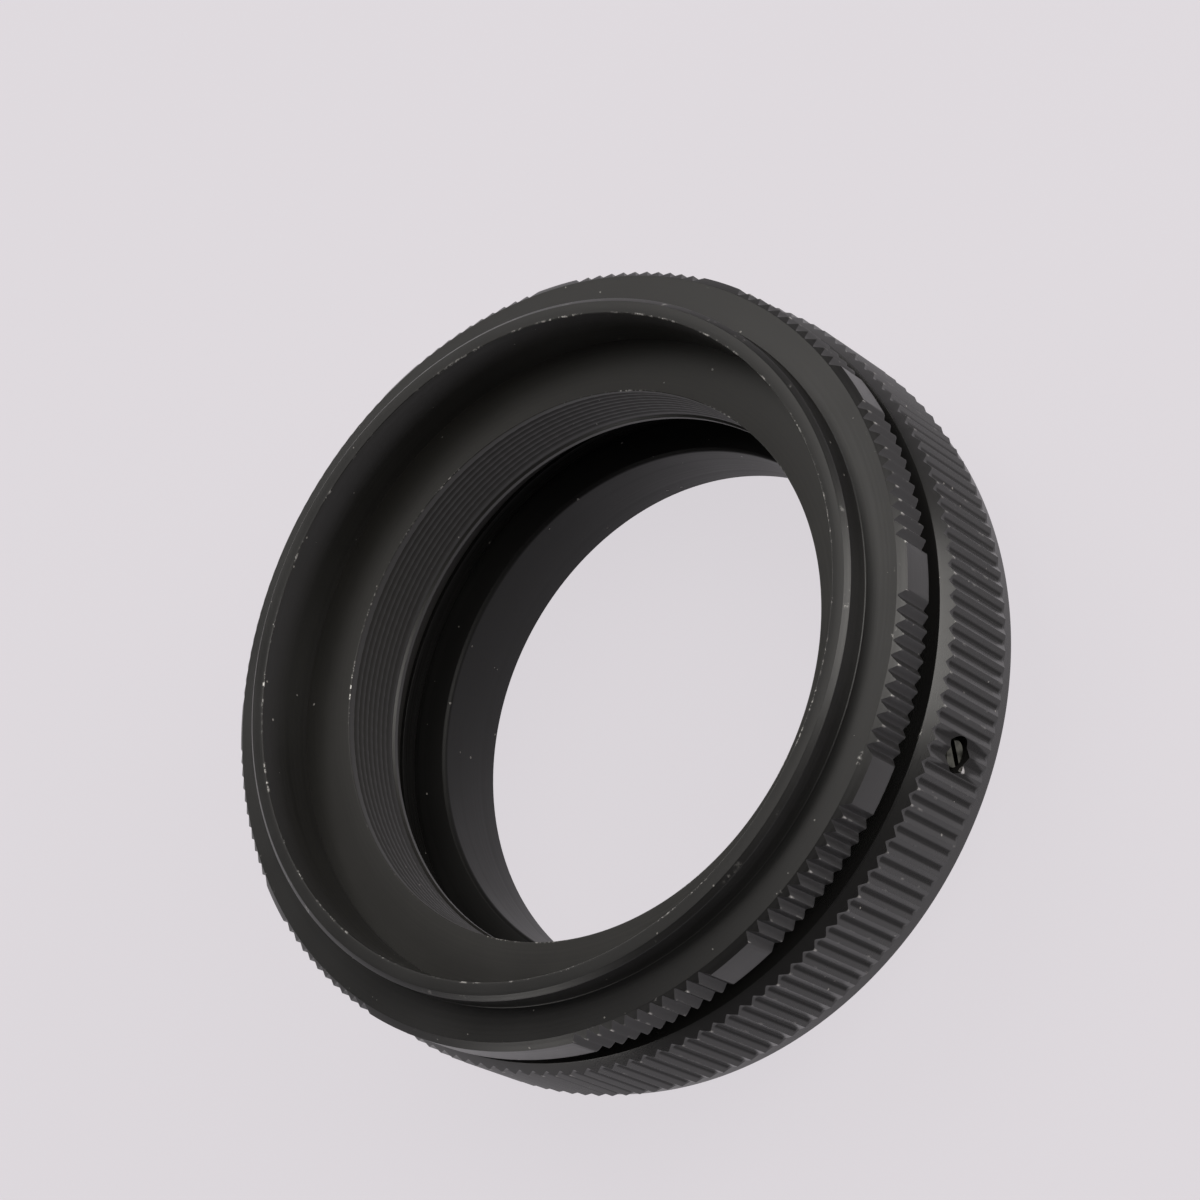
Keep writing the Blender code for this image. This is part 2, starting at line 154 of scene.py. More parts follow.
class FrontRingSizes(bpy.types.PropertyGroup):
    """Sizes of the front ring, from its bore outwards."""

    thread_crest: length_prop("Thread crest radius", "Radius of the lands at both ends of the thread", 0.0206)
    thread_root: length_prop("Thread root radius", "Radius at the bottom of the thread", 0.02076)
    thread_length: length_prop("Thread length", "From the floor to the relief behind the thread", 0.0060)
    thread_pitch: length_prop("Thread pitch", "Travel of one turn of the thread", 0.00056)
    thread_land: length_prop("Thread land", "Length of the plain land at each end", 0.00035)
    thread_height: length_prop("Thread height", "Height of the thread's ridge", 0.00004)
    counterbore: length_prop("Counterbore radius", "Radius of the bore in the collar", 0.02465)
    counterbore_depth: length_prop("Counterbore depth", "From the lip to the floor", 0.0052)
    collar: length_prop("Collar radius", "Outer radius of the collar", 0.02593)
    collar_length: length_prop("Collar length", "From the flange's face to the lip", 0.0022)
    lip_chamfer: length_prop("Lip chamfer", "Chamfer round the outside of the lip", 0.00035)
    flange: length_prop("Flange radius", "Radius of the flange at its smooth pads", 0.02892)
    flange_thickness: length_prop("Flange thickness", "From face to face", 0.00355)
    chamfer_width: length_prop("Flange chamfer width", "Width of the chamfer round the flange", 0.00054)
    chamfer_drop: length_prop("Flange chamfer drop", "Height of the chamfer round the flange", 0.00052)
    hub: length_prop("Hub radius", "Radius of the hub that turns in the knurled ring", 0.0258)
    relief: length_prop("Relief radius", "Radius of the recess behind the thread", 0.0225)
    lock_groove: length_prop("Lock groove depth", "Depth of the groove for the grub screws", 0.0007)
    groove_depth: length_prop("Grip depth", "Depth of the grip's V-grooves", 0.0005)
    groove_crest: length_prop("Grip crest", "Width of the flat between two grooves", 0.00013)
    pads: count_prop("Pads", "Smooth pads round the flange", 12)
    pad_angle: angle_prop("Pad angle", "Angle that one pad covers", 6.8)
    first_pad: angle_prop("First pad", "Angle of the middle of the first pad", 4.7)
    name_gap: count_prop("Smooth gap", "The gap between pads that is left smooth", 6, 0)
    grooves: count_prop("Grooves", "Grooves between two pads", 11)


class KnurledRingSizes(bpy.types.PropertyGroup):
    """Sizes of the knurled ring, from its bore outwards."""

    bore: length_prop("Bore radius", "Radius of the bore that holds the hub", 0.0261)
    web_bore: length_prop("Web bore radius", "Radius of the hole through the inner web", 0.0225)
    web_front: length_prop("Web front", "Height of the web's front face", 0.00855)
    web_rear: length_prop("Web rear", "Height of the web's rear face", 0.00705)
    recess: length_prop("Recess radius", "Radius of the recess for the bayonet mount", 0.0272)
    crest: length_prop("Crest radius", "Radius at the knurl's crests", 0.0295)
    lip: length_prop("Lip radius", "Radius of the smooth band behind the knurl", 0.02904)
    lip_length: length_prop("Lip length", "Width of the smooth band", 0.00135)
    face_chamfer: length_prop("Face chamfer", "Radial width of the chamfer round the front face", 0.0007)
    face_drop: length_prop("Face chamfer drop", "Height of the chamfer round the front face", 0.001)
    rear_chamfer: length_prop("Rear chamfer", "Chamfer round the rear edge", 0.0002)
    groove_depth: length_prop("Knurl depth", "Depth of the V-grooves", 0.00029)
    groove_crest: length_prop("Knurl crest", "Width of the flat between two grooves", 0.0001)
    grooves: count_prop("Grooves", "Grooves round the ring", 156, 3)


class BayonetSizes(bpy.types.PropertyGroup):
    """Sizes of the bayonet mount at the rear."""

    bore: length_prop("Bore radius", "Radius of the bore", 0.02015)
    mouth: length_prop("Mouth radius", "Radius at the front of the bore", 0.01985)
    mouth_chamfer: length_prop("Mouth chamfer", "Chamfer at the front of the bore", 0.00025)
    barrel: length_prop("Barrel radius", "Outer radius of the barrel", 0.0219)
    plate: length_prop("Plate radius", "Radius of the plate let into the ring", 0.0269)
    barrel_chamfer: length_prop("Barrel chamfer", "Chamfer at the rear end", 0.0003)
    lug: length_prop("Lug radius", "Radius over the lugs", 0.0235)
    lug_thickness: length_prop("Lug thickness", "Along the axis", 0.0015)
    lug_setback: length_prop("Lug setback", "From the plate to the lugs", 0.0018)
    lug_angle: angle_prop("Lug angle", "Angle that one lug covers", 56.0)
    first_lug: angle_prop("First lug", "Angle at which the first lug starts", 32.0)
    lugs: count_prop("Lugs", "Lugs round the barrel", 3)


class ScrewSizes(bpy.types.PropertyGroup):
    """Sizes of the grub screws and of the screws in the mount."""

    grub_angle: angle_prop("Grub screw angle", "Angle of the first grub screw", -76.5)
    grub_count: count_prop("Grub screws", "Grub screws round the ring", 3)
    grub_radius: length_prop("Grub screw radius", "Radius over the thread", 0.0011)
    grub_outer: length_prop("Grub screw head", "Distance of the slotted end from the axis", 0.0291)
    grub_tip: length_prop("Grub screw tip", "Distance of the point from the axis", 0.02565)
    grub_point: length_prop("Grub screw point", "Radius of the point's flat", 0.00025)
    grub_slot: length_prop("Grub screw slot", "Width of the slot", 0.00045)
    grub_slot_depth: length_prop("Grub screw slot depth", "Depth of the slot", 0.0007)
    grub_slot_tilt: angle_prop("Grub screw slot tilt", "Turn of the slot from the tube's axis", -43.0)
    clearance: length_prop("Clearance", "Gap round a screw in its hole", 0.0002)
    mount_circle: length_prop("Mount screw circle", "Radius of the circle of mount screws", 0.0249)
    mount_count: count_prop("Mount screws", "Screws in the bayonet mount", 4)
    mount_radius: length_prop("Mount screw radius", "Radius of the shank", 0.0008)
    mount_head: length_prop("Mount screw head", "Radius of the countersunk head", 0.00125)
    mount_slot: length_prop("Mount screw slot", "Width of the slot", 0.0004)
    mount_slot_depth: length_prop("Mount screw slot depth", "Depth of the slot", 0.0003)


class FinishColours(bpy.types.PropertyGroup):
    """Colours and wear of the finishes."""

    black: colour_prop("Black", "Black anodised aluminium", (0.0105, 0.0103, 0.0100))
    inner_black: colour_prop("Inner black", "Browner black on the floor and thread", (0.0150, 0.0143, 0.0126))
    bare: colour_prop("Bare metal", "Aluminium where the black has worn off", (0.55, 0.54, 0.52))
    screw: colour_prop("Screw metal", "Grub screws whose finish has gone dark", (0.085, 0.087, 0.07))
    dust: colour_prop("Dust", "Specks of dust", (0.55, 0.53, 0.5))
    dust_amount: share_prop("Dust amount", "Share of cells that hold a speck", 0.15)


class StageSettings(bpy.types.PropertyGroup):
    """The floor, the lamps and the camera."""

    floor: colour_prop("Floor", "Pale floor", (0.755, 0.720, 0.755))
    glow: share_prop("Floor glow", "Share of the floor's colour that needs no light", 0.88)
    lamp: colour_prop("Lamp colour", "Slightly warm light", (1.0, 0.97, 0.93))
    world: FloatProperty(name="World", description="Strength of the world's light", default=0.1, min=0.0)
    focal: FloatProperty(name="Focal length", description="In pixels of the photo", default=3688.0, min=1.0)
    tilt: angle_prop("Axis tilt", "Angle between the tube's axis and the line of sight", 40.10)
    turn: angle_prop("Axis turn", "Direction in which the axis leans in the picture", 208.03)
    lip_right: length_prop("Lip right", "Lip's centre, right of the view's middle", -0.004743, -1.0)
    lip_down: length_prop("Lip down", "Lip's centre, below the view's middle", 0.002798, -1.0)
    lip_away: length_prop("Lip distance", "Distance of the lip's centre from the camera", 0.26016)


class Graph:
    """Adds nodes to a node tree and joins them."""

    def __init__(self, tree):
        self.tree = tree

    def feed(self, socket, value):
        """Links a socket to another, or sets its value."""
        if isinstance(value, bpy.types.NodeSocket):
            self.tree.links.new(value, socket)
        else:
            socket.default_value = value

    def add(self, kind, inputs=None, **settings):
        """Adds a node with its settings and what feeds it."""
        node = self.tree.nodes.new(kind)
        row, column = divmod(len(self.tree.nodes), NODES_IN_ROW)
        node.location = (NODE_WIDTH * column, -NODE_HEIGHT * row)
        for key, value in settings.items():
            setattr(node, key, value)
        for key, value in (inputs or {}).items():
            self.feed(node.inputs[key], value)
        return node

    def math(self, operation, *values):
        """Adds a Math node and gives its output."""
        return self.add("ShaderNodeMath", dict(enumerate(values)), operation=operation).outputs[0]

    def plus(self, first, second):
        """Adds two values."""
        return self.math("ADD", first, second)

    def minus(self, first, second):
        """Takes the second value from the first."""
        return self.math("SUBTRACT", first, second)

    def times(self, first, second):
        """Multiplies two values."""
        return self.math("MULTIPLY", first, second)

    def over(self, first, second):
        """Divides the first value by the second."""
        return self.math("DIVIDE", first, second)

    def scaled(self, value, factor, shift):
        """Multiplies a value by a factor and adds a shift."""
        return self.math("MULTIPLY_ADD", value, factor, shift)

    def most(self, first, second):
        """Gives the larger of two values."""
        return self.math("MAXIMUM", first, second)

    def rest(self, value):
        """Gives what a value lacks to 1."""
        return self.minus(1.0, value)

    def hypotenuse(self, first, second):
        """Gives the root of the sum of two squares."""
        return self.math("SQRT", self.plus(self.times(first, first), self.times(second, second)))

    def ramp(self, value, low, high, kind="SMOOTHSTEP"):
        """Maps a value from 0 at low to 1 at high."""
        inputs = {"Value": value, "From Min": low, "From Max": high}
        return self.add("ShaderNodeMapRange", inputs, interpolation_type=kind).outputs["Result"]

    def step_at(self, value, level):
        """Rises from 0 to 1 where a length passes a level."""
        return self.ramp(value, level - STEP_WIDTH, level + STEP_WIDTH)

    def mix(self, share, first, second):
        """Mixes two colours."""
        return self.add("ShaderNodeMix", {0: share, 6: first, 7: second}, data_type="RGBA").outputs[2]

    def spot(self):
        """Gives Object coordinates."""
        return self.add("ShaderNodeTexCoord").outputs["Object"]

    def split(self, vector):
        """Gives the parts of a vector."""
        return self.add("ShaderNodeSeparateXYZ", {"Vector": vector}).outputs

    def join(self, x=0.0, y=0.0, z=0.0):
        """Makes a vector of its parts."""
        return self.add("ShaderNodeCombineXYZ", {"X": x, "Y": y, "Z": z}).outputs[0]

    def noise(self, spot, scale, detail, roughness=0.5):
        """Adds a Noise Texture and gives its value."""
        inputs = {"Vector": spot, "Scale": scale, "Detail": detail, "Roughness": roughness}
        return self.add("ShaderNodeTexNoise", inputs).outputs["Fac"]

    def group(self, name, inputs=None):
        """Places a shared group and gives its outputs."""
        return self.add("ShaderNodeGroup", inputs, node_tree=bpy.data.node_groups[name]).outputs

    def grip_tip(self):
        """Gives the attribute that is 1 on the crests of a grip and 0 in its grooves."""
        return self.add("ShaderNodeAttribute", attribute_name="tip").outputs["Fac"]


def socket_type(label, default):
    """Gives a socket's type, which follows from its label or its default."""
    if label in ("Geometry", "Material"):
        return f"NodeSocket{label}"
    return "NodeSocketInt" if isinstance(default, int) else "NodeSocketFloat"


def new_group(name, kind, inputs, outputs):
    """Makes a node group with named sockets and gives its graph, its inputs and its outputs."""
    tree = bpy.data.node_groups.new(name, kind)
    for label, default in inputs.items():
        socket = tree.interface.new_socket(label, in_out="INPUT", socket_type=socket_type(label, default))
        if default is not None:
            socket.default_value = default
    for label in outputs:
        tree.interface.new_socket(label, in_out="OUTPUT", socket_type=socket_type(label, None))
    graph = Graph(tree)
    return graph, graph.add("NodeGroupInput").outputs, graph.add("NodeGroupOutput").inputs


# Shader groups


def polar_group():
    """Distance of a point on the piece from its axis, and its height."""
    graph, _, leave = new_group("polar_place", "ShaderNodeTree", {}, ["Radius", "Height"])
    parts = graph.split(graph.spot())
    graph.feed(leave["Radius"], graph.hypotenuse(parts["X"], parts["Y"]))
    graph.feed(leave["Height"], parts["Z"])


def edge_wear_group():
    """Dotted wear along a turned edge, given by its radius and height."""
    inputs = {"Edge Radius": 0.025, "Edge Height": 0.02, "Reach": 0.0001, "Patch Scale": 300.0, "Amount": 0.5}
    graph, given, leave = new_group("edge_wear", "ShaderNodeTree", inputs, ["Mask"])
    place = graph.group("polar_place")
    across = graph.minus(place["Radius"], given["Edge Radius"])
    along = graph.minus(place["Height"], given["Edge Height"])
    away = graph.over(graph.hypotenuse(across, along), given["Reach"])
    near = graph.rest(graph.ramp(away, 0.3, 1.0))
    spot = graph.spot()
    limit = graph.rest(given["Amount"])
    patches = graph.ramp(graph.noise(spot, given["Patch Scale"], 3.0), limit, graph.plus(limit, 0.15))
    specks = graph.ramp(graph.noise(spot, 2600.0, 2.0, 0.7), 0.5, 0.64)
    graph.feed(leave["Mask"], graph.times(near, graph.times(patches, specks)))


def dust_group():
    """Small pale specks scattered over the surface, with ragged outlines."""
    inputs = {"Cells": 1300.0, "Amount": 0.1, "Speck": 0.1}
    graph, given, leave = new_group("dust_specks", "ShaderNodeTree", inputs, ["Mask"])
    spot = graph.spot()
    wobble = graph.add("ShaderNodeTexNoise", {"Vector": spot, "Scale": 4000.0, "Detail": 2.0})
    bend = {0: wobble.outputs["Color"], 1: (DUST_BEND, DUST_BEND, DUST_BEND), 2: spot}
    bent = graph.add("ShaderNodeVectorMath", bend, operation="MULTIPLY_ADD").outputs[0]
    cells = graph.add("ShaderNodeTexVoronoi", {"Vector": bent, "Scale": given["Cells"]}).outputs
    pick = graph.add("ShaderNodeSeparateColor", {"Color": cells["Color"]}).outputs
    chosen = graph.math("LESS_THAN", pick["Red"], given["Amount"])
    size = graph.times(graph.plus(0.3, pick["Green"]), given["Speck"])
    graph.feed(leave["Mask"], graph.times(chosen, graph.math("LESS_THAN", cells["Distance"], size)))


def turning_group():
    """Rings left by the lathe, as fine relief and as broader streaks, each from 0 to 1."""
    inputs = {"Fineness": 9000.0, "Streak Scale": 5500.0}
    graph, given, leave = new_group("turning_marks", "ShaderNodeTree", inputs, ["Height", "Streak"])
    place = graph.group("polar_place")
    flat = graph.join(place["Radius"], place["Height"])
    graph.feed(leave["Height"], graph.noise(flat, given["Fineness"], 3.0))
    graph.feed(leave["Streak"], graph.ramp(graph.noise(flat, given["Streak Scale"], 2.0), 0.3, 0.7))


def grain_group():
    """Fine matt grain of an anodised surface, as a height from 0 to 1."""
    graph, given, leave = new_group("anodised_grain", "ShaderNodeTree", {"Fineness": 12000.0}, ["Height"])
    graph.feed(leave["Height"], graph.noise(graph.spot(), given["Fineness"], 2.0))


# Materials


def surface(name):
    """Makes a material and gives it with its graph and its shader, once the shared groups are there."""
    if "polar_place" not in bpy.data.node_groups:
        for make in (polar_group, edge_wear_group, dust_group, turning_group, grain_group):
            make()
    material = bpy.data.materials.new(name)
    material.use_nodes = True
    return material, Graph(material.node_tree), material.node_tree.nodes["Principled BSDF"]


def rgba(colour):
    """Adds full opacity to a colour."""
    return (*colour, 1.0)


def add_bump(graph, shader, height, strength):
    """Gives a shader fine relief from a height of 0 to 1."""
    bump = graph.add("ShaderNodeBump", {"Height": height, "Strength": strength, "Distance": RELIEF})
    graph.feed(shader.inputs["Normal"], bump.outputs["Normal"])


def worn_edge(radius, height, reach, patches, amount):
    """Gives the inputs of the wear on one turned edge."""
    names = ("Edge Radius", "Edge Height", "Reach", "Patch Scale", "Amount")
    return dict(zip(names, (radius, height, reach, patches, amount)))


def crest_wear(graph, spot, height, level, amount):
    """Wear on a grip's crests, most at the ends that lie near a level."""
    away = graph.over(graph.math("ABSOLUTE", graph.minus(height, level)), CREST_END)
    patch = graph.noise(spot, 800.0, 3.0)
    ends = graph.times(graph.rest(graph.ramp(away, 0.2, 1.0)), graph.ramp(patch, 0.45, 0.6))
    along = graph.times(graph.ramp(patch, 0.6, 0.72), 0.4)
    return graph.times(graph.ramp(graph.grip_tip(), 0.75, 1.0), graph.times(graph.most(ends, along), amount))


def groove_painted_shade(graph, height, lowest, highest):
    """Painted shade at the bottoms of a grip's grooves, between two heights."""
    deep = graph.rest(graph.ramp(graph.grip_tip(), 0.2, 0.5))
    between = graph.times(graph.step_at(height, lowest), graph.rest(graph.step_at(height, highest)))
    return graph.times(deep, between)


def worn_black(
    name, base, roughness, edges, inner=None, tips=None, chip=None, shaded_roots=None, turning=0.5, gloss=0.5
):
    """Makes black anodised aluminium that is worn along given edges.

    The inner finish is a (colour, radius) where the bore's finish gives way to the base. The tips are the
    (height, amount) of wear on the ends of a grip's crests. The chip is the (place, radius) of one spot of
    bare metal. The shaded_roots are the (lowest, highest) heights between which the bottoms of a grip's
    grooves get painted shade, by a lower gloss. They take their height from the coordinates, because no
    group may feed the gloss.
    """
    colours = bpy.context.scene.tube_finish
    material, graph, shader = surface(name)
    spot = graph.spot()
    place = graph.group("polar_place")
    turned = graph.group("turning_marks")
    cloud = graph.noise(spot, 160.0, 5.0)
    finish = tuple(base)
    if inner:
        colour, radius = inner
        finish = graph.mix(graph.step_at(place["Radius"], radius), rgba(colour), rgba(base))
    streaked = graph.scaled(turned["Streak"], 0.3 * turning, 1.0 - 0.15 * turning)
    shade = {0: finish, "Scale": graph.times(graph.scaled(cloud, 0.5, 0.75), streaked)}
    finish = graph.add("ShaderNodeVectorMath", shade, operation="SCALE").outputs[0]
    spread = graph.scaled(turned["Streak"], 0.08 * turning, graph.scaled(cloud, 0.12, roughness - 0.06))
    if edges:
        wear = 0.0
        for edge in edges:
            wear = graph.most(wear, graph.group("edge_wear", edge)["Mask"])
        if tips:
            wear = graph.most(wear, crest_wear(graph, spot, place["Height"], *tips))
        if chip:
            centre, size = chip
            apart = graph.add("ShaderNodeVectorMath", {0: spot, 1: centre}, operation="DISTANCE")
            wear = graph.most(wear, graph.rest(graph.ramp(apart.outputs["Value"], 0.6 * size, size)))
        finish = graph.mix(wear, finish, rgba(colours.bare))
        spread = graph.scaled(wear, -0.05, spread)
        graph.feed(shader.inputs["Metallic"], graph.times(wear, 0.9))
    dust = graph.group("dust_specks", {"Amount": colours.dust_amount})["Mask"]
    graph.feed(shader.inputs["Base Color"], graph.mix(graph.times(dust, 0.45), finish, rgba(colours.dust)))
    graph.feed(shader.inputs["Roughness"], spread)
    if shaded_roots:
        # A lower gloss paints shade into the bottoms of the grooves
        grime_and_painted_shade = groove_painted_shade(graph, graph.split(spot)["Z"], *shaded_roots)
        gloss = graph.scaled(grime_and_painted_shade, -0.8 * gloss, gloss)
    graph.feed(shader.inputs["Specular IOR Level"], gloss)
    grain = graph.times(graph.group("anodised_grain")["Height"], 0.5)
    add_bump(graph, shader, graph.plus(graph.times(turned["Height"], turning), grain), 0.35)
    return material


def screw_metal():
    """Makes the dark metal of the grub screws, with dirt in its grain."""
    colours = bpy.context.scene.tube_finish
    material, graph, shader = surface("nickel_screw")
    grime_and_painted_shade = graph.noise(graph.spot(), 1500.0, 4.0)
    dark = [0.35 * part for part in colours.screw]
    tint = graph.mix(graph.ramp(grime_and_painted_shade, 0.45, 0.7), rgba(colours.screw), rgba(dark))
    graph.feed(shader.inputs["Base Color"], tint)
    graph.feed(shader.inputs["Metallic"], 1.0)
    graph.feed(shader.inputs["Roughness"], graph.scaled(grime_and_painted_shade, 0.3, 0.18))
    add_bump(graph, shader, graph.group("anodised_grain")["Height"], 0.3)
    return material


# Shapes


def rounded(corners):
    """Turns (radius, height, fillet) corners of a closed section into points, with an arc at each fillet."""
    points = []
    for index, (radius, height, fillet) in enumerate(corners):
        here = Vector((radius, height))
        if not fillet:
            points.append(here)
            continue
        before = Vector(corners[index - 1][:2]) - here
        after = Vector(corners[(index + 1) % len(corners)][:2]) - here
        half = before.angle(after) / 2
        reach = min(fillet / math.tan(half), 0.45 * before.length, 0.45 * after.length)
        start = here + before.normalized() * reach
        end = here + after.normalized() * reach
        centre = here + (before.normalized() + after.normalized()).normalized() * reach / math.cos(half)
        spoke = start - centre
        sweep = spoke.angle_signed(end - centre)
        for step in range(FILLET_STEPS + 1):
            angle = -sweep * step / FILLET_STEPS
            points.append(centre + Matrix.Rotation(angle, 2) @ spoke)
    return points


def even_angles(count):
    """Gives angles spaced evenly round a full turn."""
    return [math.tau * index / count for index in range(count)]


def place(name, mesh):
    """Puts a mesh in the scene as an object at the origin."""
    made = bpy.data.objects.new(name, mesh)
    bpy.context.scene.collection.objects.link(made)
    return made


def place_shape(name, shape):
    """Turns a bmesh into an object at the origin, and frees it."""
    mesh = bpy.data.meshes.new(name)
    shape.to_mesh(mesh)
    shape.free()
    return place(name, mesh)


def turned(name, corners, angles):
    """Turns a closed section of (radius, height, fillet) corners round Z, with vertices at each angle."""
    section = rounded(corners)
    rows = len(section)
    points = [
        (point.x * math.cos(angle), point.x * math.sin(angle), point.y)
        for angle in angles
        for point in section
    ]
    faces = []
    for column in range(len(angles)):
        here = column * rows
        there = (column + 1) % len(angles) * rows
        for row in range(rows):
            below = (row + 1) % rows
            faces.append((here + row, here + below, there + below, there + row))
    mesh = bpy.data.meshes.new(name)
    mesh.from_pydata(points, [], faces)
    shape = bmesh.new()
    shape.from_mesh(mesh)
    bmesh.ops.recalc_face_normals(shape, faces=shape.faces)
    shape.to_mesh(mesh)
    shape.free()
    return place(name, mesh)


def bake_modifiers(item):
    """Turns what the modifiers make of an object into its plain mesh."""
    evaluated = item.evaluated_get(bpy.context.evaluated_depsgraph_get())
    mesh = bpy.data.meshes.new_from_object(evaluated)
    item.modifiers.clear()
    old = item.data
    item.data = mesh
    bpy.data.meshes.remove(old)


def paint(item, material):
    """Gives all of a piece one material."""
    item.data.materials.clear()
    item.data.materials.append(material)


def finish_piece(item, body, nodes):
    """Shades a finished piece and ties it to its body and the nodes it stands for."""
    item.data.shade_smooth()
    item.data.set_sharp_from_angle(angle=SHARP_ANGLE)
    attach(item, body)
    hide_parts(*nodes)


def combine(item, other, operation="DIFFERENCE"):
    """Cuts another object out of an item, or joins it on, by a Boolean, and removes it."""
    boolean = item.modifiers.new("shape", "BOOLEAN")
    boolean.operation = operation
    boolean.solver = "EXACT"
    boolean.object = other
    bake_modifiers(item)
    bpy.data.objects.remove(other, do_unlink=True)


def drill(item, hole, matrix):
    """Moves the shape of a hole to its place and cuts it out of an item."""
    hole.data.transform(matrix)
    combine(item, hole)


def rod(name, radius, low, high, sides):
    """Makes a plain cylinder along Z."""
    shape = bmesh.new()
    middle = Matrix.Translation((0.0, 0.0, (low + high) / 2))
    bmesh.ops.create_cone(
        shape, cap_ends=True, segments=sides, radius1=radius, radius2=radius, depth=high - low, matrix=middle
    )
    return place_shape(name, shape)


def lathe_solid(name, profile, sides):
    """Turns a profile that starts and ends on the axis into a closed solid."""
    shape = bmesh.new()
    points = [shape.verts.new((radius, 0.0, height)) for radius, height in profile]
    edges = [shape.edges.new(pair) for pair in zip(points, points[1:])]
    bmesh.ops.spin(shape, geom=points + edges, axis=(0, 0, 1), angle=math.tau, steps=sides)
    bmesh.ops.remove_doubles(shape, verts=shape.verts, dist=MERGE_DISTANCE)
    bmesh.ops.recalc_face_normals(shape, faces=shape.faces)
    return place_shape(name, shape)


def cut_slot(screw, radius, width, depth, matrix):
    """Cuts a screwdriver's slot across a screw's head, which lies at the matrix's origin."""
    shape = bmesh.new()
    size = Matrix.Diagonal((4 * radius, width, 2 * depth, 1.0))
    bmesh.ops.create_cube(shape, size=1.0, matrix=matrix @ size)
    combine(screw, place_shape("slot", shape))


# Geometry Nodes


def end_tree(graph, geometry, given, leave):
    """Ends a tree with plain geometry that has its material, and gives the tree."""
    real = graph.add("GeometryNodeRealizeInstances", {"Geometry": geometry}).outputs[0]
    painted = graph.add("GeometryNodeSetMaterial", {"Geometry": real, "Material": given["Material"]})
    graph.feed(leave["Geometry"], painted.outputs[0])
    return graph.tree


def grip_tree():
    """Cuts V-grooves into a turned piece, in gaps between smooth pads.

    Each vertex outside the groove's surface is drawn in to it. On the way it follows the slope of the
    chamfer at the front or the rear end, so that the grooves end in clean edges there. The tip attribute is
    1 on the crest between two grooves, and 0 at a groove's bottom and on the pads.
    """
    inputs = {
        "Geometry": None,
        "Surface Radius": 0.03,
        "Depth": 0.0003,
        "Crest Width": 0.0001,
        "Rounding": 0.00004,
        "Root Rounding": 0.00005,
        "Pads": 1.0,
        "Pad Angle": 0.0,
        "First Pad": 0.0,
        "Grooves": 100.0,
        "Smooth Gap": -1.0,
        "Front Height": 0.02,
        "Front Slope": 1.0,
        "Rear Height": 0.0,
        "Rear Slope": 0.0,
        "Material": None,
    }
    graph, given, leave = new_group("cut_grip", "GeometryNodeTree", inputs, ["Geometry"])
    place = graph.split(graph.add("GeometryNodeInputPosition").outputs[0])
    radius = graph.hypotenuse(place["X"], place["Y"])
    angle = graph.math("ARCTAN2", place["Y"], place["X"])
    sector = graph.over(math.tau, given["Pads"])
    from_pad = graph.plus(graph.minus(angle, given["First Pad"]), graph.over(given["Pad Angle"], 2.0))
    whole = graph.math("FLOORED_MODULO", from_pad, math.tau)
    local = graph.minus(graph.math("FLOORED_MODULO", whole, sector), given["Pad Angle"])
    gap = graph.math("FLOOR", graph.over(whole, sector))
    pitch = graph.over(graph.minus(sector, given["Pad Angle"]), given["Grooves"])
    phase = graph.math("FRACT", graph.over(local, pitch))
    spacing = graph.times(pitch, given["Surface Radius"])
    across = graph.times(graph.math("ABSOLUTE", graph.minus(phase, 0.5)), spacing)
    half = graph.over(graph.minus(spacing, given["Crest Width"]), 2.0)
    eased = graph.minus(graph.hypotenuse(across, given["Root Rounding"]), given["Root Rounding"])
    bottom = graph.minus(given["Surface Radius"], given["Depth"])
    groove = graph.scaled(eased, graph.over(given["Depth"], half), bottom)
    smooth = graph.math("COMPARE", gap, given["Smooth Gap"], 0.5)
    left_whole = graph.most(graph.math("LESS_THAN", local, 0.0), smooth)
    # Twice the depth lifts a place that is left whole clear of the surface
    lifted = graph.scaled(left_whole, given["Depth"], groove)
    lifted = graph.scaled(left_whole, given["Depth"], lifted)
    cut = graph.math("SMOOTH_MIN", radius, lifted, given["Rounding"])
    share = graph.over(cut, radius)
    forward = graph.ramp(place["Z"], given["Rear Height"], given["Front Height"], "LINEAR")
    ahead = graph.times(forward, given["Front Slope"])
    behind = graph.times(graph.rest(forward), given["Rear Slope"])
    slide = graph.times(graph.minus(radius, cut), graph.minus(ahead, behind))
    parts = (graph.times(place["X"], share), graph.times(place["Y"], share), graph.plus(place["Z"], slide))
    target = graph.join(*parts)
    high = graph.over(graph.minus(cut, bottom), given["Depth"])
    tip = graph.times(high, graph.rest(left_whole))
    values = {"Geometry": given["Geometry"], "Name": "tip", "Value": tip}
    store = graph.add("GeometryNodeStoreNamedAttribute", values, domain="POINT")
    move = graph.add("GeometryNodeSetPosition", {"Geometry": store.outputs[0], "Position": target})
    return end_tree(graph, move.outputs[0], given, leave)


